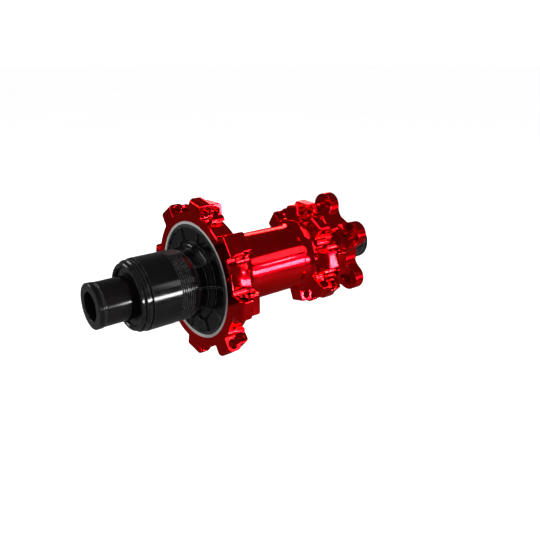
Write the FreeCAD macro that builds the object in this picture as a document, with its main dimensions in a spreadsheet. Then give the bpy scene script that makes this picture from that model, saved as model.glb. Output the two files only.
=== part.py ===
# Rear hub for a bicycle with a disc brake: 148 mm wide, 12 mm through-axle, six-bolt rotor.
# The frame: origin on the axle's centre line, midway between the two dropout faces.
# +Y runs along the axle from the sprocket side to the rotor side, +Z is up, +X is forward.
# Angles around the axle are measured from +X towards +Z. All lengths are in millimetres.
import FreeCAD, Part
import math
import os
import Sketcher

doc = FreeCAD.newDocument("rear_hub")
sheet = doc.addObject("Spreadsheet::Sheet", "Sizes")


class Size:
    """A number together with the sheet expression that gives it."""

    def __init__(self, value, text):
        self.value = value
        self.text = text

    def __add__(self, other):
        other = as_size(other)
        return Size(self.value + other.value, f"({self.text} + {other.text})")

    def __sub__(self, other):
        other = as_size(other)
        return Size(self.value - other.value, f"({self.text} - {other.text})")

    def __mul__(self, other):
        other = as_size(other)
        return Size(self.value * other.value, f"({self.text} * {other.text})")

    def __truediv__(self, other):
        other = as_size(other)
        return Size(self.value / other.value, f"({self.text} / {other.text})")

    def __neg__(self):
        return Size(-self.value, f"(0 - {self.text})")

    def leg(self, other):
        """The other short side of a right triangle whose long side is this size."""
        other = as_size(other)
        value = math.sqrt(self.value ** 2 - other.value ** 2)
        return Size(value, f"sqrt({self.text} ^ 2 - {other.text} ^ 2)")

    def laid_at(self, angle):
        """The two parts of this length when it is laid out at an angle in degrees."""
        turn = math.radians(angle.value)
        return (Size(self.value * math.cos(turn), f"({self.text} * cos({angle.text}))"),
                Size(self.value * math.sin(turn), f"({self.text} * sin({angle.text}))"))


def as_size(thing):
    """A bare number becomes a size whose expression is the number."""
    if isinstance(thing, Size):
        return thing
    return Size(float(thing), f"({float(thing)})")


class Sizes:
    """The driving dimensions: each attribute is a sheet cell with that alias."""

    def __init__(self):
        self.rows = 0

    def add(self, **cells):
        for alias, number in cells.items():
            self.rows += 1
            sheet.set(f"A{self.rows}", alias)
            sheet.set(f"B{self.rows}", str(number))
            sheet.setAlias(f"B{self.rows}", alias)
            setattr(self, alias, Size(float(number), f"Sizes.{alias}"))


d = Sizes()

# The axle line and the end caps.
d.add(half_width=74.0, through_axle_radius=6.05, cap_face_radius=9.5, cap_radius=9.2,
      cap_collar=2.4, cap_bead=0.6, cap_chamfer=0.25, cap_socket_depth=7.9, cap_socket_gap=0.02,
      axle_end_radius=7.5, axle_mid_radius=8.5, axle_collar_radius=9.6, axle_bore=6.25,
      cap_ring_thickness=0.4, cap_ring_depth=5.0, edge=0.4, small_edge=0.2)

# The four bearings: two under the driver, two in the shell.
d.add(nose_bearing_start=-54.5, nose_bearing_width=5.0, nose_bearing_radius=12.0,
      driver_bearing_start=-21.5, driver_bearing_width=5.0, driver_bearing_radius=13.0,
      shell_bearing_start=-13.2, shell_bearing_width=5.0, shell_bearing_radius=13.0,
      brake_bearing_start=48.6, brake_bearing_width=7.0, brake_bearing_radius=15.0,
      shield_thickness=0.3, shield_recess=0.15)

# The driver, which carries the sprockets.
d.add(nose_tip=-58.7, nose_radius=14.2, nose_ring_end=-57.4, nose_recess_radius=12.4,
      groove_depth=0.5, second_ring_start=-57.0, second_ring_end=-54.9, second_ring_radius=15.1,
      barrel_start=-53.9, driver_radius=15.5, thread_start=-41.2, thread_end=-35.2,
      thread_pitch=1.0, thread_depth=0.55, neck_radius=14.8, neck_start=-33.2, rib_radius=15.5,
      driver_hollow=12.6, dish_floor=-26.5, dish_rim=-27.1, dish_rim_radius=24.0,
      dish_rim_width=0.8, dish_seal_seat=23.6, dish_back=-25.3, dish_fillet=2.4,
      rib_width=0.8, rib_top=-27.2, rib_angle=7.0, rib_count=10, carrier_radius=22.2,
      carrier_end=-17.7, boss_radius=15.2, boss_end=-16.3, circlip_radius=12.6,
      circlip_inner=10.4, circlip_thickness=0.9)

# The ratchet: a ring of inward teeth and the pawls that push on them.
d.add(ring_front=-26.85, ring_radius=26.12, ring_land_radius=24.76, ring_land_end=-24.8,
      ring_back=-17.3, tooth_root_radius=23.4, tooth_tip_radius=22.6, tooth_count=120,
      tooth_lean=0.425, pawl_count=6, pawl_start=-25.15, pawl_end=-18.0, pivot_x=-8.3,
      pivot_z=18.9, pawl_root_radius=1.5, pivot_gap=0.05, tooth_gap=0.06, tip_drop=0.12,
      pawl_fold=8.0, pawl_top_angle=75.0, pawl_under_angle=-65.2, pawl_tip_length=0.92,
      pawl_tip_depth=0.95, pawl_heel=0.95, pawl_tip_under=1.9, ring_edge=0.12, ring_land_step=0.2,
      ring_land_slope=0.3,
      spring_thickness=0.2, spring_near_drop=0.98, spring_far_rise=0.22, spring_near=-5.2,
      spring_far=0.9, spring_bow=24.0)

# The shell between the two flanges. The drive flange is hollowed a little between its blocks.
d.add(flange_front=-27.0, flange_back=-15.7, flange_radius=30.0, flange_back_radius=27.4,
      flange_hollow=17.0, flange_floor=28.7, barrel_radius=15.6,
      drive_flare_end=-5.0, drive_flare=6.5, brake_flare_start=25.0, brake_flare=6.0,
      brake_neck_radius=17.4, brake_neck_end=44.6, hollow_radius=13.4, hollow_start=-5.0,
      bearing_shoulder_radius=12.0, bearing_shoulder_length=2.0, cavity_floor_radius=20.0,
      cavity_step=2.6, flange_back_land=2.5, drive_flare_turn=60.0, brake_flare_turn=45.0,
      flare_step=0.4, pilot_radius=17.45, pilot_end=57.2)

# The blocks that the spokes screw into, eight to a row and two rows to a flange. Each block
# reaches front and back of its spoke's foot point, and a hollow curve joins it to the flange.
d.add(drive_block_front=7.4, brake_block_front=6.4, block_back=1.6, block_half_width=3.5,
      block_wall=3.2, drive_block_round=2.0, brake_block_round=1.3, block_edge=0.45,
      drive_foot=2.2, brake_foot=3.0, back_foot=1.2, foot_inset=0.35, foot_sink=0.1,
      brake_block_lean=1.0, drive_root_margin=1.2,
      spoke_hole_radius=1.7, spoke_sink_radius=2.3, spoke_sink_depth=0.6, blocks_in_row=8,
      drive_front_angle=34.5, drive_front_radius=32.2, drive_front_along=-23.5,
      drive_back_angle=0.5, drive_back_radius=31.0, drive_back_along=-19.2,
      brake_inner_angle=12.5, brake_inner_radius=21.0, brake_inner_along=34.5,
      brake_outer_angle=43.0, brake_outer_radius=21.7, brake_outer_along=39.4)

# The rotor mount.
d.add(rotor_face=55.2, rotor_inner_face=50.0, bolt_circle=22.0, lobe_radius=6.0,
      lobe_count=6, lobe_angle=30.0, lobe_edge=0.5, waist_radius=18.6, scallop_radius=6.6,
      lobe_start=45.0, lobe_slope_run=2.2, lobe_slope_rise=0.8, lobe_slope_hollow=6.0, lobe_back_rim=0.6,
      rotor_hole_radius=2.1, rotor_spot_radius=4.1, rotor_spot_depth=3.5)

# How far cutting shapes run past the faces they open.
d.add(overrun=1.0)

EXPORTED = []


def bind(thing, name, size):
    """Set a property from the sheet."""
    thing.setExpression(name, as_size(size).text)


def new_body(label):
    """A part-design body, which becomes one file."""
    body = doc.addObject("PartDesign::Body", label)
    body.Label = label
    EXPORTED.append(body)
    return body


def origin_feature(body, role):
    return next(item for item in body.Origin.OriginFeatures if item.Role == role)


def sketch_on(body, role, name, turn=None, lift=None):
    """A sketch on one of the body's planes, turned about the sketch's upward axis or lifted off it."""
    sketch = body.newObject("Sketcher::SketchObject", name)
    sketch.AttachmentSupport = (origin_feature(body, role), "")
    sketch.MapMode = "FlatFace"
    if turn is not None:
        start = FreeCAD.Rotation(FreeCAD.Vector(0, 1, 0), turn.value)
        sketch.AttachmentOffset = FreeCAD.Placement(FreeCAD.Vector(0, 0, 0), start)
        bind(sketch, "AttachmentOffset.Rotation.Angle", turn)
    if lift is not None:
        bind(sketch, "AttachmentOffset.Base.z", lift)
    return sketch


def spun_sketch(body, name, angle, along, outward):
    """A sketch square to the axle line at a place along it, with its middle outward at the angle.
    Its first direction points outward and its second one points towards rising angles."""
    sketch = body.newObject("Sketcher::SketchObject", name)
    sketch.AttachmentSupport = (origin_feature(body, "XZ_Plane"), "")
    sketch.MapMode = "FlatFace"
    forward, upward = outward.laid_at(angle)
    middle = FreeCAD.Vector(forward.value, upward.value, -along.value)
    start = FreeCAD.Rotation(FreeCAD.Vector(0, 0, 1), angle.value)
    sketch.AttachmentOffset = FreeCAD.Placement(middle, start)
    bind(sketch, "AttachmentOffset.Rotation.Angle", angle)
    bind(sketch, "AttachmentOffset.Base.x", forward)
    bind(sketch, "AttachmentOffset.Base.y", upward)
    bind(sketch, "AttachmentOffset.Base.z", -along)
    return sketch


def pin_point(sketch, edge, end, across, along):
    """Hold one end of an edge at a place given by two sizes."""
    for kind, size in (("DistanceX", across), ("DistanceY", along)):
        number = sketch.addConstraint(Sketcher.Constraint(kind, edge, end, size.value))
        bind(sketch, f"Constraints[{number}]", size)


def arc_between(first, last, radius):
    """The short arc from first to last; its centre is on the left for a positive radius."""
    chord = last - first
    reach = math.sqrt(radius * radius - chord.Length ** 2 / 4)
    left = FreeCAD.Vector(-chord.y, chord.x, 0).normalize()
    side = math.copysign(1, radius)
    centre = (first + last) * 0.5 + left * reach * side
    circle = Part.Circle(centre, FreeCAD.Vector(0, 0, 1), abs(radius))
    begin, end = (first, last) if side > 0 else (last, first)
    angles = [math.atan2(point.y - centre.y, point.x - centre.x) for point in (begin, end)]
    return Part.ArcOfCircle(circle, angles[0], angles[1])


def outline(sketch, corners):
    """A closed loop through the corners. A corner is (across, along) and may hold a third size,
    the radius of an arc that arrives at it; a negative radius has its centre on the right."""
    places = [[as_size(size) for size in corner] for corner in corners]
    first_edge = sketch.GeometryCount
    ends = []
    for number, place in enumerate(places):
        before = places[number - 1]
        start = FreeCAD.Vector(before[0].value, before[1].value, 0)
        stop = FreeCAD.Vector(place[0].value, place[1].value, 0)
        if len(place) == 3:
            sketch.addGeometry(arc_between(start, stop, place[2].value), False)
            ends.append((1, 2) if place[2].value > 0 else (2, 1))
        else:
            sketch.addGeometry(Part.LineSegment(start, stop), False)
            ends.append((1, 2))
    for number, place in enumerate(places):
        edge = first_edge + number
        following = (number + 1) % len(places)
        join = Sketcher.Constraint("Coincident", edge, ends[number][1], first_edge + following,
                                   ends[following][0])
        sketch.addConstraint(join)
        pin_point(sketch, edge, ends[number][1], place[0], place[1])
        if len(place) == 3:
            bend = Sketcher.Constraint("Radius", edge, abs(place[2].value))
            count = sketch.addConstraint(bend)
            bend_size = place[2] if place[2].value > 0 else -place[2]
            bind(sketch, f"Constraints[{count}]", bend_size)


def disc(sketch, across, along, radius):
    """A full circle."""
    centre = FreeCAD.Vector(as_size(across).value, as_size(along).value, 0)
    circle = Part.Circle(centre, FreeCAD.Vector(0, 0, 1), radius.value)
    edge = sketch.addGeometry(circle, False)
    pin_point(sketch, edge, 3, as_size(across), as_size(along))
    count = sketch.addConstraint(Sketcher.Constraint("Radius", edge, radius.value))
    bind(sketch, f"Constraints[{count}]", radius)


def turned(body, name, corners, cut=False):
    """Turn an outline of (radius, along) corners about the axle line, to add or to cut."""
    sketch = sketch_on(body, "XY_Plane", f"{name}_outline")
    outline(sketch, corners)
    feature = body.newObject("PartDesign::Groove" if cut else "PartDesign::Revolution", name)
    feature.Profile = sketch
    feature.ReferenceAxis = (sketch, ["V_Axis"])
    feature.Angle = 360.0
    body.Tip = feature
    return feature


def around(body, name, features, count):
    """Repeat features evenly about the axle line."""
    pattern = body.newObject("PartDesign::PolarPattern", name)
    pattern.Originals = features
    pattern.Axis = (origin_feature(body, "Y_Axis"), [""])
    pattern.Angle = 360.0
    bind(pattern, "Occurrences", count)
    body.Tip = pattern
    return pattern


def extruded(body, name, sketch, forward, backward=None, flip=False, cut=False):
    """Pad or pocket a sketch to one side of it, or to both."""
    feature = body.newObject("PartDesign::Pocket" if cut else "PartDesign::Pad", name)
    feature.Profile = sketch
    feature.Reversed = flip
    bind(feature, "Length", forward)
    if backward is not None:
        feature.SideType = "Two sides"
        bind(feature, "Length2", backward)
    body.Tip = feature
    return feature


def tube(label, inner, outer, start, end, edge):
    """A plain ring about the axle line with broken edges."""
    body = new_body(label)
    turned(body, f"{label}_ring", [
        (inner + edge, start), (outer - edge, start), (outer, start + edge),
        (outer, end - edge), (outer - edge, end), (inner + edge, end),
        (inner, end - edge), (inner, start + edge)])
    return body


# ---- axle and end caps ----

def make_axle():
    """One tube: 17 mm under the shell and the driver's inner bearing, 15 mm at both ends."""
    body = new_body("axle")
    drive_end = -d.half_width + d.cap_socket_depth + 0.1
    brake_end = d.half_width - d.cap_socket_depth - 0.1
    drive_step = d.driver_bearing_start
    brake_step = d.brake_bearing_start + d.brake_bearing_width
    collar_start = d.driver_bearing_start + d.driver_bearing_width
    collar_end = d.shell_bearing_start
    brake_collar = d.brake_bearing_start - 1.8
    turned(body, "axle_tube", [
        (d.axle_bore, drive_end), (d.axle_end_radius - d.edge, drive_end),
        (d.axle_end_radius, drive_end + d.edge), (d.axle_end_radius, drive_step),
        (d.axle_mid_radius, drive_step), (d.axle_mid_radius, collar_start),
        (d.axle_collar_radius, collar_start), (d.axle_collar_radius, collar_end),
        (d.axle_mid_radius, collar_end), (d.axle_mid_radius, brake_collar),
        (d.axle_collar_radius, brake_collar), (d.axle_collar_radius, d.brake_bearing_start),
        (d.axle_mid_radius, d.brake_bearing_start), (d.axle_mid_radius, brake_step),
        (d.axle_end_radius, brake_step), (d.axle_end_radius, brake_end - d.edge),
        (d.axle_end_radius - d.edge, brake_end), (d.axle_bore, brake_end)])


def cap_corners(side, foot, foot_radius):
    """The end cap's outline on either side: collar, bead, body and the socket for the axle."""
    face = d.half_width * side
    collar = face - d.cap_collar * side
    bead = collar - d.cap_bead * side
    floor = face - d.cap_socket_depth * side
    socket = d.axle_end_radius + d.cap_socket_gap
    ring_near = face - (d.cap_socket_depth + d.cap_ring_depth - 0.5) * side
    ring_far = face - (d.cap_socket_depth + d.cap_ring_depth + 0.5) * side
    ring_floor = d.axle_end_radius + d.cap_ring_thickness * 2 + 0.03
    shaped = [
        (d.through_axle_radius + d.cap_chamfer, face), (d.cap_face_radius - d.cap_chamfer, face),
        (d.cap_face_radius, face - d.cap_chamfer * side), (d.cap_face_radius, collar + d.small_edge * side),
        (d.cap_radius - 0.1, collar), (d.cap_radius - 0.1, collar - 0.25 * side),
        (d.cap_radius + 0.15, collar - 0.35 * side), (d.cap_radius + 0.15, bead),
        (d.cap_radius, bead - 0.15 * side)]
    inside = [
        (foot_radius, foot), (socket, foot), (socket, ring_far), (ring_floor, ring_far),
        (ring_floor, ring_near), (socket, ring_near), (socket, floor),
        (d.through_axle_radius, floor), (d.through_axle_radius, face - d.cap_chamfer * side)]
    return shaped, inside


def make_drive_end_cap():
    """The long cap that stands out of the driver; its foot stops on the nose bearing."""
    body = new_body("drive_end_cap")
    foot = d.nose_bearing_start
    shaped, inside = cap_corners(-1, foot, d.cap_radius - 0.5)
    step = [(d.cap_radius, foot - 0.9), (d.cap_radius - 0.5, foot - 0.6)]
    turned(body, "drive_cap_turning", shaped + step + inside)


def make_brake_end_cap():
    """The cap on the rotor side, with a skirt that covers the shell's seal."""
    body = new_body("brake_end_cap")
    foot = d.brake_bearing_start + d.brake_bearing_width
    shaped, inside = cap_corners(1, foot, d.cap_radius + 0.3)
    skirt_out = d.pilot_end + 2.2
    skirt_in = d.pilot_end + 0.35
    skirt = [
        (d.cap_radius, skirt_out + 3.0), (d.cap_radius + 3.0, skirt_out, d.cap_radius / 3),
        (d.pilot_radius - 2.0, skirt_out), (d.pilot_radius - 1.6, skirt_out - d.edge),
        (d.pilot_radius - 1.6, skirt_in), (d.cap_radius + 0.3, skirt_in)]
    turned(body, "brake_cap_turning", shaped + skirt + inside)


def make_cap_rings():
    """The rubber rings that hold the caps on the axle."""
    for label, side in (("drive_cap_o_ring", -1), ("brake_cap_o_ring", 1)):
        body = new_body(label)
        middle = (d.half_width - d.cap_socket_depth - d.cap_ring_depth) * side
        sketch = sketch_on(body, "XY_Plane", f"{label}_section")
        disc(sketch, d.axle_end_radius + d.cap_ring_thickness + 0.015, middle, d.cap_ring_thickness)
        ring = body.newObject("PartDesign::Revolution", f"{label}_ring")
        ring.Profile = sketch
        ring.ReferenceAxis = (sketch, ["V_Axis"])
        ring.Angle = 360.0


def make_bearing_spacer():
    """The tube between the driver's two bearings."""
    start = d.nose_bearing_start + d.nose_bearing_width
    tube("driver_bearing_spacer", d.axle_end_radius + 0.02, d.axle_end_radius + 1.3,
         start, d.driver_bearing_start, d.small_edge)


# ---- bearings ----

def make_bearing(name, bore, outer, start, width):
    """A shielded ball bearing: two grooved rings, a cage with its balls, and two shields."""
    middle = start + width / 2
    end = start + width
    wall = (outer - bore) * 0.25
    pitch_radius = (bore + outer) * 0.5
    ball = (outer - bore) * 0.27
    inner_land = bore + wall
    outer_land = outer - wall
    groove_half = ball * 0.42
    groove = ball * 1.0167
    reach = d.small_edge

    inner = new_body(f"{name}_inner_ring")
    turned(inner, f"{name}_inner_turning", [
        (bore, start + reach), (bore + reach, start), (inner_land, start),
        (inner_land, middle - groove_half), (inner_land, middle + groove_half, -groove),
        (inner_land, end), (bore + reach, end), (bore, end - reach)])

    race = new_body(f"{name}_outer_ring")
    turned(race, f"{name}_outer_turning", [
        (outer, start + reach), (outer, end - reach), (outer - reach, end), (outer_land, end),
        (outer_land, middle + groove_half), (outer_land, middle - groove_half, -groove),
        (outer_land, start), (outer - reach, start)])

    cage = new_body(f"{name}_cage")
    cage_half = 0.45
    turned(cage, f"{name}_cage_ring", [
        (pitch_radius - cage_half, middle - ball - 0.25), (pitch_radius + cage_half, middle - ball - 0.25),
        (pitch_radius + cage_half, middle + ball + 0.25), (pitch_radius - cage_half, middle + ball + 0.25)])
    holes = sketch_on(cage, "YZ_Plane", f"{name}_pocket_outline")
    disc(holes, middle, 0.0, ball + 0.04)
    pocket = extruded(cage, f"{name}_pocket", holes, outer, cut=True, flip=True)
    count = int(2 * math.pi * pitch_radius.value / (2.35 * ball.value))
    around(cage, f"{name}_pockets", [pocket], count)

    balls = doc.addObject("Part::Feature", f"{name}_balls")
    balls.Label = f"{name}_balls"
    spheres = []
    for number in range(count):
        angle = 2 * math.pi * number / count
        place = FreeCAD.Vector(math.cos(angle), 0, -math.sin(angle)) * pitch_radius.value
        place.y = middle.value
        spheres.append(Part.makeSphere(ball.value, place))
    balls.Shape = Part.makeCompound(spheres)
    EXPORTED.append(balls)

    for side, face in (("outboard", start + d.shield_recess), ("inboard", end - d.shield_recess)):
        low, high = (face, face + d.shield_thickness)
        if side == "inboard":
            low, high = (face - d.shield_thickness, face)
        tube(f"{name}_{side}_shield", inner_land + 0.1, outer_land, low, high, as_size(0.05))


def make_bearings():
    make_bearing("nose_bearing", d.axle_end_radius, d.nose_bearing_radius,
                 d.nose_bearing_start, d.nose_bearing_width)
    make_bearing("driver_bearing", d.axle_mid_radius, d.driver_bearing_radius,
                 d.driver_bearing_start, d.driver_bearing_width)
    make_bearing("shell_bearing", d.axle_mid_radius, d.shell_bearing_radius,
                 d.shell_bearing_start, d.shell_bearing_width)
    make_bearing("brake_bearing", d.axle_mid_radius, d.brake_bearing_radius,
                 d.brake_bearing_start, d.brake_bearing_width)


# ---- driver ----

def thread_corners():
    """Six rounded-off crests, each a pitch apart."""
    corners = []
    root = d.driver_radius - d.thread_depth
    crests = round((d.thread_end.value - d.thread_start.value) / d.thread_pitch.value)
    for number in range(crests):
        base = d.thread_start + d.thread_pitch * number
        corners += [
            (root, base + d.thread_pitch * 0.12), (root, base + d.thread_pitch * 0.3),
            (d.driver_radius - 0.08, base + d.thread_pitch * 0.58),
            (d.driver_radius - 0.08, base + d.thread_pitch * 0.8)]
    return corners


def make_driver_body():
    """The black body: nose, grooved rings, plain barrel, thread, ribbed dish and pawl carrier."""
    body = new_body("driver_body")
    second_chamfer = 0.5
    dish_corner = d.neck_radius + d.dish_fillet
    turned(body, "driver_turning", [
        (0, d.nose_tip), (d.nose_radius - d.edge, d.nose_tip), (d.nose_radius, d.nose_tip + d.edge),
        (d.nose_radius, d.nose_ring_end), (d.nose_radius - d.groove_depth, d.nose_ring_end),
        (d.nose_radius - d.groove_depth, d.second_ring_start),
        (d.second_ring_radius - second_chamfer, d.second_ring_start),
        (d.second_ring_radius, d.second_ring_start + second_chamfer),
        (d.second_ring_radius, d.second_ring_end - d.small_edge),
        (d.second_ring_radius - d.groove_depth, d.second_ring_end),
        (d.second_ring_radius - d.groove_depth, d.barrel_start - d.edge),
        (d.driver_radius, d.barrel_start), (d.driver_radius, d.thread_start - d.small_edge)]
        + thread_corners()
        + [(d.neck_radius + 0.35, d.thread_end + 0.3), (d.neck_radius + 0.35, d.neck_start - 0.3),
           (d.neck_radius, d.neck_start), (d.neck_radius, d.dish_floor - d.dish_fillet),
           (dish_corner, d.dish_floor, d.dish_fillet),
           (d.dish_rim_radius - d.dish_rim_width, d.dish_floor),
           (d.dish_rim_radius - d.dish_rim_width, d.dish_rim),
           (d.dish_rim_radius - 0.1, d.dish_rim),
           (d.dish_seal_seat, d.dish_rim + 0.35), (d.dish_seal_seat, d.dish_back),
           (d.carrier_radius, d.dish_back), (d.carrier_radius, d.carrier_end - d.small_edge),
           (d.carrier_radius - d.small_edge, d.carrier_end), (d.boss_radius, d.carrier_end),
           (d.boss_radius - 0.3, d.boss_end), (0, d.boss_end)])
    cut_pawl_pockets(body)
    add_dish_ribs(body)
    bore_driver(body)


def add_dish_ribs(body):
    """Thin ribs that stand in the dish, from the neck to its rim."""
    sketch = sketch_on(body, "XY_Plane", "rib_outline", turn=-d.rib_angle)
    rim = d.dish_rim_radius - d.dish_rim_width / 2
    outline(sketch, [
        (d.neck_radius - 0.6, d.neck_start), (d.rib_radius, d.neck_start + 0.2),
        (d.rib_radius, d.rib_top - d.dish_fillet),
        (d.rib_radius + d.dish_fillet, d.rib_top, d.dish_fillet), (rim, d.rib_top),
        (rim, d.dish_floor + 0.4), (d.neck_radius - 0.6, d.dish_floor + 0.4)])
    half = d.rib_width / 2
    rib = extruded(body, "dish_rib", sketch, half, half)
    around(body, "dish_ribs", [rib], d.rib_count)


def cut_pawl_pockets(body):
    """Six pockets in the carrier: a round seat for the pawl's root and room for its arm."""
    depth = d.carrier_end - d.pawl_start + 0.05
    seat_sketch = sketch_on(body, "XZ_Plane", "pawl_seat_outline", lift=-d.carrier_end)
    disc(seat_sketch, d.pivot_x, d.pivot_z, d.pawl_root_radius + d.pivot_gap)
    seat = extruded(body, "pawl_seat", seat_sketch, depth, cut=True, flip=True)
    arm_sketch = sketch_on(body, "XZ_Plane", "pawl_arm_outline", lift=-d.carrier_end)
    outline(arm_sketch, [
        (d.pivot_x + 0.4, d.pivot_z - 1.5), (2.0, d.pivot_z + 0.3), (2.0, d.tooth_root_radius),
        (d.pivot_x + 1.6, d.tooth_root_radius), (d.pivot_x + 0.35, d.pivot_z + 1.55)])
    arm = extruded(body, "pawl_arm_room", arm_sketch, depth, cut=True, flip=True)
    around(body, "pawl_pockets", [seat, arm], d.pawl_count)


def bore_driver(body):
    """The hollow middle: seal and bearing seats at the nose, a bearing seat at the carrier."""
    nose_seat_end = d.nose_bearing_start + d.nose_bearing_width
    clip_end = d.nose_bearing_start
    clip_start = clip_end - d.circlip_thickness
    seat_start = d.driver_bearing_start
    turned(body, "driver_bore", [
        (0, d.nose_tip - 1.0), (d.nose_recess_radius + 1.0, d.nose_tip - 1.0),
        (d.nose_recess_radius + 0.6, d.nose_tip), (d.nose_recess_radius, d.nose_tip + 0.6),
        (d.nose_recess_radius, clip_start - 0.25), (d.nose_bearing_radius, clip_start - 0.25),
        (d.nose_bearing_radius, clip_start), (d.circlip_radius, clip_start),
        (d.circlip_radius, clip_end), (d.nose_bearing_radius, clip_end),
        (d.nose_bearing_radius, nose_seat_end), (d.nose_bearing_radius - 0.9, nose_seat_end),
        (d.nose_bearing_radius - 0.9, nose_seat_end + 1.5),
        (d.driver_hollow - 1.0, nose_seat_end + 2.0), (d.driver_hollow - 1.0, seat_start - 1.5),
        (d.driver_hollow - 0.6, seat_start - 0.8), (d.driver_hollow - 0.6, seat_start),
        (d.driver_bearing_radius, seat_start), (d.driver_bearing_radius, d.boss_end + 1.0),
        (0, d.boss_end + 1.0)], cut=True)


def make_driver_trim():
    """The retaining ring in the nose, and the two lip seals that turn with the driver."""
    clip_end = d.nose_bearing_start
    clip_start = clip_end - d.circlip_thickness
    tube("nose_retaining_ring", d.circlip_inner, d.circlip_radius, clip_start, clip_end, as_size(0.05))

    nose_seal = new_body("nose_seal")
    seal_end = clip_start - 0.25
    seal_start = seal_end - 1.3
    lip = d.cap_radius + 0.04
    turned(nose_seal, "nose_seal_turning", [
        (lip + 0.5, seal_start + 0.35), (lip + 1.1, seal_start), (d.nose_recess_radius, seal_start),
        (d.nose_recess_radius, seal_end), (lip + 1.0, seal_end), (lip, seal_end - 0.35),
        (lip, seal_end - 0.6)])

    dish_seal = new_body("dish_seal")
    lip = d.ring_land_radius - 0.05
    turned(dish_seal, "dish_seal_turning", [
        (d.dish_seal_seat, d.dish_back), (lip - 0.5, d.dish_back), (lip, d.dish_back - 0.5),
        (lip, d.dish_back - 1.0), (lip - 0.45, d.dish_back - 1.35),
        (d.dish_seal_seat, d.dish_back - 1.35)])


# ---- ratchet ----

def make_drive_ring():
    """The steel ring: a machined rim, a land for the driver's seal and inward saw teeth."""
    body = new_body("drive_ring")
    turned(body, "ring_turning", [
        (d.ring_land_radius + d.ring_edge, d.ring_front), (d.ring_radius - d.ring_edge, d.ring_front),
        (d.ring_radius, d.ring_front + d.ring_edge), (d.ring_radius, d.ring_back),
        (d.tooth_tip_radius, d.ring_back), (d.tooth_tip_radius, d.ring_land_end),
        (d.tooth_root_radius + d.ring_land_slope, d.ring_land_end - d.ring_land_step),
        (d.ring_land_radius, d.ring_land_end - d.ring_land_step),
        (d.ring_land_radius, d.ring_front + d.ring_edge)])
    sketch = sketch_on(body, "XZ_Plane", "tooth_gap_outline", lift=-(d.ring_back + d.overrun))
    crest_turn = d.tooth_lean.value / d.tooth_tip_radius.value
    back_turn = 2 * math.pi / d.tooth_count.value - crest_turn
    tip = d.tooth_tip_radius
    low = tip - (d.tooth_root_radius - tip) / 2
    outline(sketch, [
        (0, d.tooth_root_radius), (-tip * math.sin(back_turn), tip * math.cos(back_turn)),
        (-low * math.sin(back_turn), low), (low * math.sin(crest_turn), low),
        (tip * math.sin(crest_turn), tip * math.cos(crest_turn))])
    gap = extruded(body, "tooth_gap", sketch, d.ring_back - d.ring_front + d.overrun * 2, cut=True,
                   flip=True)
    around(body, "tooth_gaps", [gap], d.tooth_count)


def make_pawls():
    """Six steel pawls and the leaf springs under them. Each pawl is drawn as it stands in the
    teeth and then folded inward about its root, to where the ring slips past its tip."""
    width = d.pawl_end - d.pawl_start
    pivot = FreeCAD.Vector(d.pivot_x.value, 0, d.pivot_z.value)
    fold_turn = FreeCAD.Rotation(FreeCAD.Vector(0, 1, 0), d.pawl_fold.value)
    fold = FreeCAD.Placement(FreeCAD.Vector(0, 0, 0), fold_turn, pivot)
    for number in range(int(d.pawl_count.value)):
        turn = FreeCAD.Rotation(FreeCAD.Vector(0, 1, 0), 360.0 / d.pawl_count.value * number)
        pawl = new_body(f"pawl_{number + 1}")
        sketch = sketch_on(pawl, "XZ_Plane", f"pawl_{number + 1}_outline", lift=-d.pawl_end)
        root = d.pawl_root_radius
        top_x, top_z = root.laid_at(d.pawl_top_angle)
        under_x, under_z = root.laid_at(d.pawl_under_angle)
        tip_z = d.tooth_root_radius - d.tip_drop
        outline(sketch, [
            (-d.tooth_gap, tip_z), (-d.tooth_gap - d.pawl_tip_length, tip_z - d.pawl_tip_depth),
            (d.pivot_x + top_x, d.pivot_z + top_z), (d.pivot_x - root, d.pivot_z, root),
            (d.pivot_x + under_x, d.pivot_z + under_z, root),
            (d.pawl_heel, tip_z - d.pawl_tip_under)])
        extruded(pawl, f"pawl_{number + 1}_plate", sketch, width)
        pawl.Placement = FreeCAD.Placement(FreeCAD.Vector(0, 0, 0), turn).multiply(fold)

        spring = new_body(f"pawl_spring_{number + 1}")
        sketch = sketch_on(spring, "XZ_Plane", f"pawl_spring_{number + 1}_outline",
                           lift=-(d.pawl_end - d.overrun))
        floor_near = d.pivot_z - d.spring_near_drop
        floor_far = d.pivot_z + d.spring_far_rise
        outline(sketch, [
            (d.spring_near, floor_near, d.spring_bow),
            (d.spring_near, floor_near + d.spring_thickness),
            (d.spring_far, floor_far + d.spring_thickness, -d.spring_bow),
            (d.spring_far, floor_far)])
        extruded(spring, f"pawl_spring_{number + 1}_leaf", sketch, width - d.overrun * 2)
        spring.Placement = FreeCAD.Placement(FreeCAD.Vector(0, 0, 0), turn)


# ---- shell ----

class SpokeRow:
    """One row of eight blocks. turns is 1 where the spokes leave towards rising angles and -1
    where they leave the other way; lean tilts the blocks' sides outward at their foot.
    soft_ends says whether the edges round both ends of a block are broken."""

    def __init__(self, name, turns, front, bend, foot, floor, root, lean):
        self.name = name
        self.angle = getattr(d, f"{name}_angle")
        self.radius = getattr(d, f"{name}_radius")
        self.along = getattr(d, f"{name}_along")
        self.turns = turns
        self.front = front
        self.bend = bend
        self.foot = foot
        self.floor = floor
        self.root = root
        self.lean = lean
        self.soft_ends = True

    def forward(self, size):
        """A place on the spoke's own line, counted the way the spoke leaves."""
        return size * self.turns

    def seen_along(self, point):
        """How far a point lies outward and how far along the spoke's line, in this row's frame."""
        angle = math.radians(self.angle.value)
        outward = point.x * math.cos(angle) + point.z * math.sin(angle)
        onward = (point.z * math.cos(angle) - point.x * math.sin(angle)) * self.turns
        return outward, onward


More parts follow.
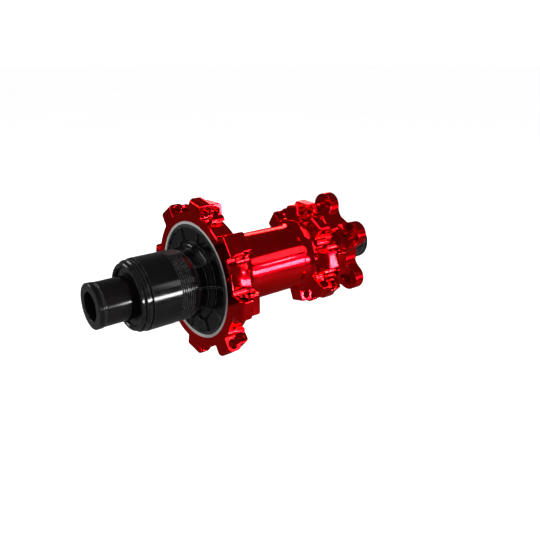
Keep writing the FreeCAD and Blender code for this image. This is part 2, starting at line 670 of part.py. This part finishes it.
def spoke_rows():
    """The four rows, from the sprocket side to the rotor side."""
    drive = (d.drive_block_front, d.drive_block_round, d.drive_foot, d.flange_floor,
             d.ring_radius + d.drive_root_margin, as_size(0))
    brake = (d.brake_block_front, d.brake_block_round, d.brake_foot, d.brake_neck_radius,
             d.barrel_radius, d.brake_block_lean)
    rows = [SpokeRow("drive_front", 1, *drive), SpokeRow("drive_back", -1, *drive),
            SpokeRow("brake_inner", -1, *brake), SpokeRow("brake_outer", 1, *brake)]
    rows[-1].soft_ends = False
    return rows


def round_block_ends(body, block, row):
    """Break the edges round both ends of a block, all but the ones buried in the flange."""
    doc.recompute()
    names = []
    for number, edge in enumerate(block.Shape.Edges):
        ends = [row.seen_along(vertex.Point) for vertex in edge.Vertexes]
        buried = max(outward for outward, onward in ends) < row.root.value + 0.5
        at_front = all(abs(onward - row.front.value) < 0.01 for outward, onward in ends)
        at_back = all(abs(onward + d.block_back.value) < 0.01 for outward, onward in ends)
        if (at_front or at_back) and not buried:
            names.append(f"Edge{number + 1}")
    fillet = body.newObject("PartDesign::Fillet", f"{row.name}_block_edges")
    fillet.Base = (block, names)
    bind(fillet, "Radius", d.block_edge)
    body.Tip = fillet


def add_block_feet(body, row):
    """The hollow curves that join both ends of a block to the flange."""
    sketch = spun_sketch(body, f"{row.name}_foot_outline", row.angle, row.along, as_size(0))
    front_floor = row.floor.leg(row.front + row.foot) - d.foot_sink
    back_floor = row.floor.leg(d.block_back + d.back_foot) - d.foot_sink
    buried = front_floor - d.overrun
    corners = [
        (front_floor, row.forward(row.front + row.foot)),
        (front_floor + row.foot, row.forward(row.front), row.forward(-row.foot)),
        (back_floor + d.back_foot, row.forward(-d.block_back)),
        (back_floor, row.forward(-d.block_back - d.back_foot), row.forward(-d.back_foot)),
        (buried, row.forward(-d.block_back)), (buried, row.forward(row.front))]
    outline(sketch, corners)
    half = d.block_half_width - d.foot_inset
    extruded(body, f"{row.name}_foot", sketch, half, half)


def spoke_blocks(row):
    """A body of eight blocks that stand off a flange; the shell takes it in."""
    body = doc.addObject("PartDesign::Body", f"{row.name}_blocks")
    body.AllowCompound = True
    sketch = sketch_on(body, "XY_Plane", f"{row.name}_block_outline", turn=-row.angle)
    half = d.block_half_width
    top = row.radius + d.block_wall
    low = row.along - half
    high = row.along + half
    outline(sketch, [
        (row.root, low - row.lean), (top - row.bend, low), (top, low + row.bend, row.bend),
        (top, high - row.bend), (top - row.bend, high, row.bend), (row.root, high + row.lean)])
    block = extruded(body, f"{row.name}_block", sketch, row.front, d.block_back,
                     flip=row.turns < 0)
    if row.soft_ends:
        round_block_ends(body, block, row)
    add_block_feet(body, row)
    ring = around(body, f"{row.name}_ring", [], d.blocks_in_row)
    ring.TransformMode = "Whole shape"
    return body


def spoke_holes(body, row):
    """The threaded holes of a row, open at both ends, with a countersink at each end."""
    sketch = spun_sketch(body, f"{row.name}_hole_outline", row.angle, row.along, row.radius)
    back = -d.block_back
    wall = d.spoke_hole_radius
    wide = d.spoke_sink_radius
    sink = d.spoke_sink_depth
    profile = [
        (0, back - sink), (wide, back - sink), (wide, back), (wall, back + sink),
        (wall, row.front - sink), (wide, row.front), (wide, row.front + d.overrun),
        (0, row.front + d.overrun)]
    outline(sketch, [(outward, row.forward(onward)) for outward, onward in profile])
    hole = body.newObject("PartDesign::Groove", f"{row.name}_hole")
    hole.Profile = sketch
    hole.ReferenceAxis = (sketch, ["V_Axis"])
    hole.Angle = 360.0
    body.Tip = hole
    around(body, f"{row.name}_holes", [hole], d.blocks_in_row)


def make_shell():
    """The one-piece shell: drive flange, barrel, brake flange and rotor mount."""
    body = new_body("hub_shell")
    drive_in, drive_along = d.drive_flare.laid_at(d.drive_flare_turn)
    drive_bend_x = d.barrel_radius + d.drive_flare - drive_in
    drive_bend_y = d.drive_flare_end - drive_along
    brake_in, brake_along = d.brake_flare.laid_at(d.brake_flare_turn)
    brake_bend_x = d.barrel_radius + d.brake_flare - brake_in
    brake_bend_y = d.brake_flare_start + brake_along
    turned(body, "shell_turning", [
        (0, d.flange_front), (d.flange_radius - d.edge, d.flange_front),
        (d.flange_radius, d.flange_front + d.edge),
        (d.flange_back_radius, d.flange_back - d.edge, -d.flange_hollow),
        (d.flange_back_radius - d.edge, d.flange_back),
        (d.flange_back_radius - d.flange_back_land, d.flange_back),
        (drive_bend_x, drive_bend_y), (d.barrel_radius, d.drive_flare_end, -d.drive_flare),
        (d.barrel_radius, d.brake_flare_start), (brake_bend_x, brake_bend_y, -d.brake_flare),
        (d.brake_neck_radius, brake_bend_y + d.flare_step), (d.brake_neck_radius, d.brake_neck_end),
        (d.waist_radius, d.rotor_inner_face), (d.waist_radius, d.rotor_face),
        (d.pilot_radius, d.rotor_face), (d.pilot_radius, d.pilot_end - d.edge),
        (d.pilot_radius - d.edge, d.pilot_end), (0, d.pilot_end)])
    rows = spoke_rows()
    joined = [spoke_blocks(row) for row in rows] + [rotor_lobes()]
    union = body.newObject("PartDesign::Boolean", "shell_union")
    union.Type = "Fuse"
    union.addObjects(joined)
    body.Tip = union
    bore_shell(body)
    for row in rows:
        spoke_holes(body, row)
    cut_rotor_holes(body)


def rotor_lobes():
    """Six round-ended lobes for the rotor bolts, joined by hollow curves, as a body that the
    shell takes in."""
    body = doc.addObject("PartDesign::Body", "rotor_lobes")
    sketch = sketch_on(body, "XZ_Plane", "lobe_outline", lift=-d.rotor_face)
    sector = math.radians(180.0 / d.lobe_count.value)
    share = d.lobe_radius / (d.lobe_radius + d.scallop_radius)

    def polar(radius, angle):
        return (radius * math.cos(angle), radius * math.sin(angle))

    def meeting(middle, angle):
        lobe = polar(d.bolt_circle, middle)
        hollow = polar(d.waist_radius + d.scallop_radius, angle)
        return tuple(near + (far - near) * share for near, far in zip(lobe, hollow))

    corners = []
    for number in range(int(d.lobe_count.value)):
        middle = math.radians(d.lobe_angle.value) + sector * 2 * number
        near = middle - sector
        far = middle + sector
        corners += [
            meeting(middle, near) + (-d.scallop_radius,),
            polar(d.bolt_circle + d.lobe_radius, middle) + (d.lobe_radius,),
            meeting(middle, far) + (d.lobe_radius,),
            polar(d.waist_radius, far) + (-d.scallop_radius,)]
    outline(sketch, corners)
    plate = extruded(body, "lobe_plate", sketch, d.rotor_face - d.lobe_start)
    doc.recompute()
    names = []
    for number, edge in enumerate(plate.Shape.Edges):
        if all(abs(vertex.Y - d.rotor_face.value) < 0.01 for vertex in edge.Vertexes):
            names.append(f"Edge{number + 1}")
    fillet = body.newObject("PartDesign::Fillet", "lobe_edges")
    fillet.Base = (plate, names)
    bind(fillet, "Radius", d.lobe_edge)
    slope_start = d.lobe_start - d.lobe_edge
    slope_foot = d.waist_radius + d.edge
    slope_end = d.bolt_circle + d.lobe_radius + d.overrun
    turned(body, "lobe_back_slope", [
        (slope_foot, slope_start),
        (slope_foot + d.lobe_slope_rise, slope_start + d.lobe_slope_run),
        (d.bolt_circle + d.lobe_edge, d.rotor_inner_face - d.lobe_back_rim, -d.lobe_slope_hollow),
        (slope_end, d.rotor_inner_face), (slope_end, slope_start)], cut=True)
    return body


def bore_shell(body):
    """Everything hollow: the ring's seat, the ratchet's floor, both bearing seats and the barrel."""
    drive_seat = d.shell_bearing_start
    drive_seat_end = drive_seat + d.shell_bearing_width
    brake_seat = d.brake_bearing_start
    turned(body, "shell_bore", [
        (0, d.flange_front - d.overrun), (d.ring_radius, d.flange_front - d.overrun),
        (d.ring_radius, d.ring_back), (d.cavity_floor_radius, d.ring_back),
        (d.shell_bearing_radius + d.cavity_step, drive_seat), (d.shell_bearing_radius, drive_seat),
        (d.shell_bearing_radius, drive_seat_end), (d.bearing_shoulder_radius, drive_seat_end),
        (d.bearing_shoulder_radius, drive_seat_end + d.bearing_shoulder_length),
        (d.hollow_radius, d.hollow_start), (d.hollow_radius, brake_seat),
        (d.brake_bearing_radius, brake_seat), (d.brake_bearing_radius, d.pilot_end + d.overrun),
        (0, d.pilot_end + d.overrun)], cut=True)


def cut_rotor_holes(body):
    """The six threaded rotor holes, each with a round spot face on the inner side."""
    middle = math.radians(d.lobe_angle.value)
    across = d.bolt_circle * math.cos(middle)
    upward = d.bolt_circle * math.sin(middle)
    sketch = sketch_on(body, "XZ_Plane", "rotor_hole_outline", lift=-(d.rotor_face + d.overrun))
    disc(sketch, across, upward, d.rotor_hole_radius)
    hole = extruded(body, "rotor_hole", sketch, d.rotor_face - d.lobe_start + d.overrun * 2, cut=True,
                    flip=True)
    spot_sketch = sketch_on(body, "XZ_Plane", "rotor_spot_outline", lift=-d.rotor_inner_face)
    disc(spot_sketch, across, upward, d.rotor_spot_radius)
    spot = extruded(body, "rotor_spot", spot_sketch, d.rotor_spot_depth, cut=True, flip=False)
    around(body, "rotor_holes", [hole, spot], d.lobe_count)


def make_brake_seal():
    """The lip seal outside the rotor-side bearing, between the shell and the end cap."""
    body = new_body("brake_seal")
    start = d.brake_bearing_start + d.brake_bearing_width + 0.1
    lip = d.cap_radius + 0.3 + 0.05
    turned(body, "brake_seal_turning", [
        (lip, start + 0.4), (lip + 0.8, start), (d.brake_bearing_radius, start),
        (d.brake_bearing_radius, start + 1.3), (lip + 1.4, start + 1.3), (lip, start + 0.8)])


def check_and_export():
    """Stop if anything failed, then write one file for each sub-part."""
    doc.recompute()
    for thing in doc.Objects:
        if "Invalid" in thing.State or "Error" in thing.State:
            raise RuntimeError(f"{thing.Label} did not build: {thing.State}")
    os.makedirs("parts", exist_ok=True)
    for thing in EXPORTED:
        shape = thing.Shape
        if shape.isNull() or not shape.isValid() or not shape.Solids:
            raise RuntimeError(f"{thing.Label} has no valid solid")
        if thing.Label == "hub_shell" and len(shape.Solids) != 1:
            raise RuntimeError("hub_shell is not one solid")
        shape.exportStep(f"parts/{thing.Label}.step")
        print(f"{thing.Label}: {len(shape.Solids)} solid(s), {shape.Volume:.1f} mm3")


make_axle()
make_drive_end_cap()
make_brake_end_cap()
make_cap_rings()
make_bearing_spacer()
make_bearings()
make_driver_body()
make_driver_trim()
make_drive_ring()
make_pawls()
make_shell()
make_brake_seal()
check_and_export()
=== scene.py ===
import math

import bpy
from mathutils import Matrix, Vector


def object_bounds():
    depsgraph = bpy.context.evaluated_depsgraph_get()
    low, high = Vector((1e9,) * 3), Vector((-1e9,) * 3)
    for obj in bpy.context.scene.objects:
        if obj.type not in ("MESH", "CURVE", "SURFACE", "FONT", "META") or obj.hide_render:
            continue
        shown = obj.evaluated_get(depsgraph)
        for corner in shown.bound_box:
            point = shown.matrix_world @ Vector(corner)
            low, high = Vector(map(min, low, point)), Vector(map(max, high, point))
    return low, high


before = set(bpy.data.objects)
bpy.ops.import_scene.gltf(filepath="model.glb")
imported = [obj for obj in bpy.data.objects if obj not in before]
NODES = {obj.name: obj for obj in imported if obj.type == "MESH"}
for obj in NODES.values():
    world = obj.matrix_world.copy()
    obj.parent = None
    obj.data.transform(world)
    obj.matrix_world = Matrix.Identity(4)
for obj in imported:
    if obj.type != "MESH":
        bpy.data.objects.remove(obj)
CAD_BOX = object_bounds()

# ---- camera and floor, in metres and degrees ----
MM = 0.001
CAMERA_TARGET = Vector((0.0079, 0.0094, -0.0012))
CAMERA_DISTANCE = 0.269
CAMERA_AZIMUTH = 51.44
CAMERA_ELEVATION = 19.75
CAMERA_LENS = 38.62
SENSOR_WIDTH = 36.0
NEAR_CLIP = 0.005
FLOOR_DROP = 0.07
FLOOR_SIZE = 60.0

# ---- brightness of the white surround ----
SURROUND = 1.08
REFLECTED_AT_HORIZON = 0.2
REFLECTED_OVERHEAD = 0.14
OVERHEAD_FROM = 0.3  # the upward part of a direction: 0 at the horizon, 1 straight up

# ---- colours, as linear red, green and blue ----
RED_DYE = (0.7, 0.0004, 0.005)
RED_DYE_DEEP = (0.57, 0.0002, 0.003)
# pink for sharp edges of the red shell: worn dye and a painted highlight
RED_WORN_AND_HIGHLIT = (0.95, 0.07, 0.09)
RED_GLANCING = (1.0, 0.12, 0.14)
DRIVER_BLACK = (0.0012, 0.0011, 0.0013)
CAP_BLACK = (0.0015, 0.0012, 0.0012)
BLACK_WORN = (0.1, 0.1, 0.105)
BLACK_FADING = 1.7
RING_STEEL = (0.93, 0.92, 0.89)
PAWL_STEEL = (0.5, 0.5, 0.5)
SPRING_STEEL = (0.4, 0.42, 0.47)
BEARING_STEEL = (0.66, 0.66, 0.67)
RUBBER = (0.009, 0.009, 0.01)
RUBBER_DUSTY = (0.035, 0.034, 0.034)
NYLON = (0.46, 0.4, 0.27)
NYLON_FIBRE = (0.66, 0.61, 0.48)
ALUMINIUM = (0.76, 0.76, 0.77)
ALUMINIUM_DULL = (0.6, 0.6, 0.61)
FLOOR_WHITE = (0.9, 0.9, 0.9)
FLOOR_PALER = (0.93, 0.93, 0.93)
# the floor as mirror-like reflections see it: a painted shade
FLOOR_PAINTED_DARK_IN_REFLECTIONS = (0.11, 0.11, 0.115)


# ---- node building ----

class Recipe:
    """A material under construction: short calls that add and join shader nodes."""

    def __init__(self, name):
        self.material = bpy.data.materials.new(name)
        self.material.use_nodes = True
        self.tree = self.material.node_tree
        self.shader = self.tree.nodes["Principled BSDF"]

    def feed(self, socket, value):
        """Join a node's output to a socket, or set the socket's own value."""
        if isinstance(value, bpy.types.NodeSocket):
            self.tree.links.new(value, socket)
        elif isinstance(value, tuple) and socket.type == "RGBA":
            socket.default_value = (*value, 1.0)
        else:
            socket.default_value = value

    def node(self, kind, output=0, settings=None, **inputs):
        """Add a node, set its properties and inputs, and give back one of its outputs.

        An input goes by its name, or by its number after an underscore."""
        made = self.tree.nodes.new(kind)
        for name, value in (settings or {}).items():
            setattr(made, name, value)
        for name, value in inputs.items():
            key = int(name[1:]) if name[1:].isdigit() else name.replace("_", " ")
            self.feed(made.inputs[key], value)
        return made.outputs[output]

    def place(self):
        """Where a surface point lies in the part's own frame."""
        return self.node("ShaderNodeTexCoord", "Object")

    def parts(self, vector):
        """The X, Y and Z outputs of a vector."""
        made = self.tree.nodes.new("ShaderNodeSeparateXYZ")
        self.tree.links.new(vector, made.inputs[0])
        return made.outputs

    def calculate(self, operation, first, second=0.0):
        return self.node("ShaderNodeMath", settings={"operation": operation}, _0=first, _1=second)

    def scale(self, color, factor):
        """A colour made darker or lighter from place to place."""
        return self.node("ShaderNodeVectorMath", settings={"operation": "SCALE"}, _0=color,
                         Scale=factor)

    def mix_color(self, factor, first, second):
        return self.node("ShaderNodeMix", 2, {"data_type": "RGBA"}, Factor=factor,
                         _6=first, _7=second)

    def remap(self, value, low, high, new_low=0.0, new_high=1.0):
        """Stretch the span from low to high over the new span, and hold its ends beyond that."""
        return self.node("ShaderNodeMapRange", Value=value, From_Min=low, From_Max=high,
                         To_Min=new_low, To_Max=new_high)

    def noise(self, size, detail=3.0, roughness=0.5, vector=None):
        """Soft mottling whose patches are about this size."""
        return self.node("ShaderNodeTexNoise", "Fac", Vector=vector or self.place(),
                         Scale=1.0 / size, Detail=detail, Roughness=roughness)

    def lathe_marks(self, pitch):
        """Fine grooves round the axle line, as a cutting tool leaves them."""
        along = self.parts(self.place())[1]
        line = self.node("ShaderNodeCombineXYZ", Y=along)
        fine = self.noise(pitch, detail=2.0, roughness=0.7, vector=line)
        coarse = self.noise(pitch * 6, detail=2.0, vector=line)
        return self.calculate("ADD", fine, coarse)

    def around(self):
        """The angle round the axle line, in radians."""
        x, y, z = self.parts(self.place())
        return self.calculate("ARCTAN2", z, x)

    def round_edges(self, width):
        """A normal that turns smoothly over sharp edges."""
        return self.node("ShaderNodeBevel", settings={"samples": 6}, Radius=width)

    def edges(self, width):
        """1 on sharp edges, fading to 0 within about this width."""
        flat = self.node("ShaderNodeNewGeometry", "Normal")
        alike = self.node("ShaderNodeVectorMath", "Value", {"operation": "DOT_PRODUCT"},
                          _0=self.round_edges(width), _1=flat)
        return self.remap(alike, 0.995, 0.86)

    def bump(self, height, strength, depth, normal=None):
        """Relief of this depth, laid over another normal where one is given."""
        under = {"Normal": normal} if normal else {}
        return self.node("ShaderNodeBump", Height=height, Strength=strength, Distance=depth,
                         **under)

    def finish(self, **inputs):
        """Feed the shader's inputs and give back the material."""
        for name, value in inputs.items():
            self.feed(self.shader.inputs[name.replace("_", " ")], value)
        return self.material


# ---- materials ----

def red_anodised():
    """Bright-dipped aluminium under a clear red dye: deep in the shade, pink on its edges, partly
    as wear and partly as a painted highlight.
    """
    r = Recipe("red_anodised")
    mottle = r.remap(r.noise(14 * MM, roughness=0.55), 0.35, 0.65)
    dye = r.mix_color(mottle, RED_DYE, RED_DYE_DEEP)
    thin_spots = r.remap(r.noise(1.6 * MM, roughness=0.6), 0.42, 0.62, 0.25, 0.7)
    # sharp edges turn pink: partly wear, partly a painted highlight where the edges would catch
    # the light
    paler = r.calculate("MULTIPLY", r.edges(0.3 * MM), thin_spots)
    smudge = r.noise(5 * MM, detail=4.0, roughness=0.6)
    normal = r.bump(r.lathe_marks(0.16 * MM), strength=0.05, depth=0.004 * MM,
                    normal=r.round_edges(0.25 * MM))
    return r.finish(Base_Color=r.mix_color(paler, dye, RED_WORN_AND_HIGHLIT), Metallic=1.0,
                    Roughness=r.remap(smudge, 0.35, 0.7, 0.1, 0.17), Normal=normal,
                    Specular_Tint=RED_GLANCING,
                    Coat_Weight=0.09, Coat_Roughness=0.04, Coat_IOR=1.5)


def black_anodised(name, color, rough_low, rough_high, wear_width):
    """Black-dyed turned aluminium: satin, with crisp streaks and grey worn edges."""
    r = Recipe(name)
    faded = tuple(part * BLACK_FADING for part in color)
    dye = r.mix_color(r.remap(r.noise(9 * MM), 0.35, 0.65), color, faded)
    thin_spots = r.remap(r.noise(1.3 * MM, roughness=0.6), 0.4, 0.6, 0.2, 0.8)
    paler = r.calculate("MULTIPLY", r.edges(wear_width), thin_spots)
    smudge = r.noise(4 * MM, detail=4.0, roughness=0.6)
    normal = r.bump(r.lathe_marks(0.22 * MM), strength=0.12, depth=0.004 * MM,
                    normal=r.round_edges(0.2 * MM))
    return r.finish(Base_Color=r.mix_color(paler, dye, BLACK_WORN), Metallic=0.0,
                    Roughness=r.remap(smudge, 0.35, 0.7, rough_low, rough_high), Normal=normal,
                    Specular_IOR_Level=0.17, Coat_Weight=0.06, Coat_Roughness=0.05)


def faced_steel(name, color, rough, strokes, depth):
    """Machined steel whose face shows fine strokes from its middle outward."""
    r = Recipe(name)
    swirl = r.calculate("SINE", r.calculate("MULTIPLY", r.around(), float(strokes)))
    strength = r.remap(r.noise(2.5 * MM), 0.3, 0.7, 0.3, 1.0)
    broken = r.calculate("MULTIPLY", swirl, strength)
    mottle = r.remap(r.noise(6 * MM, detail=4.0, roughness=0.6), 0.3, 0.7, 0.9, 1.05)
    shade = r.calculate("MULTIPLY", mottle, r.remap(broken, -1.0, 1.0, 0.74, 1.0))
    smudge = r.noise(1.2 * MM, detail=4.0, roughness=0.6)
    normal = r.bump(broken, strength=0.35, depth=depth, normal=r.round_edges(0.12 * MM))
    return r.finish(Base_Color=r.scale(color, shade), Metallic=1.0,
                    Roughness=r.remap(smudge, 0.3, 0.7, rough * 0.8, rough * 1.25),
                    Normal=normal)


def ground_steel(name, color, rough):
    """Hardened and ground steel: tight even grinding lines and a few darker patches."""
    r = Recipe(name)
    shade = r.remap(r.noise(3 * MM, detail=4.0, roughness=0.6), 0.3, 0.7, 0.82, 1.05)
    smudge = r.noise(0.8 * MM, detail=4.0, roughness=0.6)
    normal = r.bump(r.lathe_marks(0.09 * MM), strength=0.15, depth=0.003 * MM,
                    normal=r.round_edges(0.08 * MM))
    return r.finish(Base_Color=r.scale(color, shade), Metallic=1.0,
                    Roughness=r.remap(smudge, 0.3, 0.7, rough * 0.75, rough * 1.3),
                    Normal=normal)


def seal_rubber():
    """Moulded seal rubber: matt, faintly dusty, with a fine pebbled skin."""
    r = Recipe("seal_rubber")
    dust = r.remap(r.noise(2.2 * MM, detail=5.0, roughness=0.65), 0.45, 0.75, 0.0, 0.6)
    grain = r.noise(0.12 * MM, roughness=0.6)
    return r.finish(Base_Color=r.mix_color(dust, RUBBER, RUBBER_DUSTY), Metallic=0.0,
                    Roughness=r.remap(dust, 0.0, 1.0, 0.5, 0.72),
                    Normal=r.bump(grain, strength=0.3, depth=0.01 * MM))


def cage_nylon():
    """Natural glass-filled nylon: warm, waxy, with short pale fibres in it."""
    r = Recipe("cage_nylon")
    fibres = r.remap(r.noise(0.35 * MM, detail=5.0, roughness=0.75), 0.52, 0.68)
    return r.finish(Base_Color=r.mix_color(fibres, NYLON, NYLON_FIBRE), Metallic=0.0,
                    Roughness=r.remap(fibres, 0.0, 1.0, 0.38, 0.55), Subsurface_Weight=0.1,
                    Normal=r.bump(fibres, strength=0.15, depth=0.01 * MM))


def bare_aluminium():
    """Turned aluminium left uncoated: pale, with open tool marks and a dull film."""
    r = Recipe("bare_aluminium")
    film = r.remap(r.noise(7 * MM, detail=4.0, roughness=0.6), 0.35, 0.7)
    normal = r.bump(r.lathe_marks(0.2 * MM), strength=0.3, depth=0.006 * MM,
                    normal=r.round_edges(0.12 * MM))
    return r.finish(Base_Color=r.mix_color(film, ALUMINIUM, ALUMINIUM_DULL), Metallic=1.0,
                    Roughness=r.remap(film, 0.0, 1.0, 0.24, 0.42), Normal=normal)


def floor_white():
    """A matt white floor that mirror-like reflections see painted dark: a painted shade, as if it
    lay out of the light.
    """
    r = Recipe("floor_white")
    white = r.mix_color(r.noise(0.4, detail=2.0), FLOOR_WHITE, FLOOR_PALER)
    # mirror-like reflections get the dark colour: painted shade on the floor
    in_reflections = r.node("ShaderNodeLightPath", "Is Glossy Ray")
    return r.finish(Base_Color=r.mix_color(in_reflections, white, FLOOR_PAINTED_DARK_IN_REFLECTIONS), Roughness=0.7,
                    Specular_IOR_Level=0.0)


def dress(name, material):
    """Give a CAD node its material in every slot."""
    materials = NODES[name].data.materials
    if not materials:
        materials.append(material)
    for index in range(len(materials)):
        materials[index] = material


def dress_everything():
    """Choose each CAD node's material by the node's name."""
    red = red_anodised()
    driver = black_anodised("black_driver", DRIVER_BLACK, 0.09, 0.18, wear_width=0.22 * MM)
    caps = black_anodised("black_caps", CAP_BLACK, 0.1, 0.2, wear_width=0.15 * MM)
    ring = faced_steel("drive_ring_steel", RING_STEEL, 0.5, strokes=200, depth=0.01 * MM)
    pawls = faced_steel("pawl_steel", PAWL_STEEL, 0.3, strokes=900, depth=0.003 * MM)
    springs = ground_steel("spring_steel", SPRING_STEEL, 0.18)
    bearings = ground_steel("bearing_steel", BEARING_STEEL, 0.14)
    rubber = seal_rubber()
    nylon = cage_nylon()
    bare = bare_aluminium()
    for name in NODES:
        if name == "hub_shell":
            dress(name, red)
        elif name == "driver_body":
            dress(name, driver)
        elif name.endswith("end_cap"):
            dress(name, caps)
        elif name in ("axle", "driver_bearing_spacer"):
            dress(name, bare)
        elif name == "drive_ring":
            dress(name, ring)
        elif name.startswith("pawl_spring") or name == "nose_retaining_ring":
            dress(name, springs)
        elif name.startswith("pawl"):
            dress(name, pawls)
        elif name.endswith("_cage"):
            dress(name, nylon)
        elif name.endswith(("_seal", "_o_ring", "_shield")):
            dress(name, rubber)
        else:
            dress(name, bearings)


# ---- camera, light and floor ----

def direction(azimuth, elevation):
    """A unit vector by compass angle from +X towards +Y and height above the horizon."""
    turn = math.radians(azimuth)
    rise = math.radians(elevation)
    return Vector((math.cos(turn) * math.cos(rise), math.sin(turn) * math.cos(rise),
                   math.sin(rise)))


def face(thing, place, towards):
    """Put a camera or lamp at a place, facing along a direction, and add it to the scene."""
    thing.location = place
    thing.rotation_euler = towards.to_track_quat("-Z", "Y").to_euler()
    bpy.context.scene.collection.objects.link(thing)


def make_camera():
    """The camera's azimuth counts from -Y towards +X, and direction() counts from +X."""
    look = -direction(CAMERA_AZIMUTH - 90.0, CAMERA_ELEVATION)
    data = bpy.data.cameras.new("camera")
    data.lens = CAMERA_LENS
    data.sensor_width = SENSOR_WIDTH
    data.clip_start = NEAR_CLIP
    camera = bpy.data.objects.new("camera", data)
    face(camera, CAMERA_TARGET - look * CAMERA_DISTANCE, look)
    bpy.context.scene.camera = camera


def make_softbox(name, azimuth, elevation, distance, size, power, aim=(0, 0, 0)):
    """A soft light that faces a point on the hub and that no camera sees."""
    data = bpy.data.lights.new(name, "AREA")
    data.shape = "RECTANGLE"
    data.size, data.size_y = size
    data.energy = power
    lamp = bpy.data.objects.new(name, data)
    towards = direction(azimuth, elevation)
    face(lamp, Vector(aim) + towards * distance, -towards)
    lamp.visible_camera = False


def make_world():
    """A white surround. Mirror-like reflections see it far dimmer, which keeps the dark tones."""
    world = bpy.data.worlds.new("studio")
    bpy.context.scene.world = world
    world.use_nodes = True
    tree = world.node_tree
    background = tree.nodes["Background"]
    background.inputs["Color"].default_value = (1.0, 1.0, 1.0, 1.0)
    seen = tree.nodes.new("ShaderNodeLightPath")
    place = tree.nodes.new("ShaderNodeTexCoord")
    split = tree.nodes.new("ShaderNodeSeparateXYZ")
    tree.links.new(place.outputs["Generated"], split.inputs[0])
    dim = tree.nodes.new("ShaderNodeMapRange")
    tree.links.new(split.outputs[2], dim.inputs["Value"])
    for socket, number in (("From Min", 0.0), ("From Max", OVERHEAD_FROM),
                           ("To Min", REFLECTED_AT_HORIZON), ("To Max", REFLECTED_OVERHEAD)):
        dim.inputs[socket].default_value = number
    pick = tree.nodes.new("ShaderNodeMix")
    tree.links.new(seen.outputs["Is Glossy Ray"], pick.inputs["Factor"])
    pick.inputs[2].default_value = SURROUND
    tree.links.new(dim.outputs[0], pick.inputs[3])
    tree.links.new(pick.outputs[0], background.inputs["Strength"])


def make_floor():
    floor_height = CAD_BOX[0][2] - FLOOR_DROP
    bpy.ops.mesh.primitive_plane_add(size=FLOOR_SIZE, location=(0, 0, floor_height))
    floor = bpy.context.object
    floor.name = "floor"
    floor.data.materials.append(floor_white())


def make_studio():
    """The windows give the barrel its bands, the strip a long streak, and the rest fill in."""
    make_world()
    make_floor()
    make_softbox("overhead", -80, 58, distance=0.6, size=(0.4, 0.3), power=1.6)
    make_softbox("window_left", 28, 25, distance=0.5, size=(0.1, 0.13), power=0.21)
    make_softbox("window_right", 43, 27, distance=0.5, size=(0.1, 0.13), power=0.21)
    make_softbox("window_core", 37, 11, distance=0.45, size=(0.04, 0.02), power=0.22,
                 aim=(0, 0.005, 0))
    make_softbox("low_strip", 38.6, -3.0, distance=0.3, size=(0.19, 0.042), power=1.9,
                 aim=(0.017, -0.056, 0))
    make_softbox("rim", 141, 20, distance=0.6, size=(0.2, 0.14), power=0.9)
    make_softbox("front", -112, 6, distance=0.6, size=(0.25, 0.3), power=0.55)
    make_softbox("rear_window", -145, 26, distance=0.5, size=(0.2, 0.1), power=0.4)


bpy.context.scene.view_settings.view_transform = "Standard"
make_camera()
make_studio()
dress_everything()
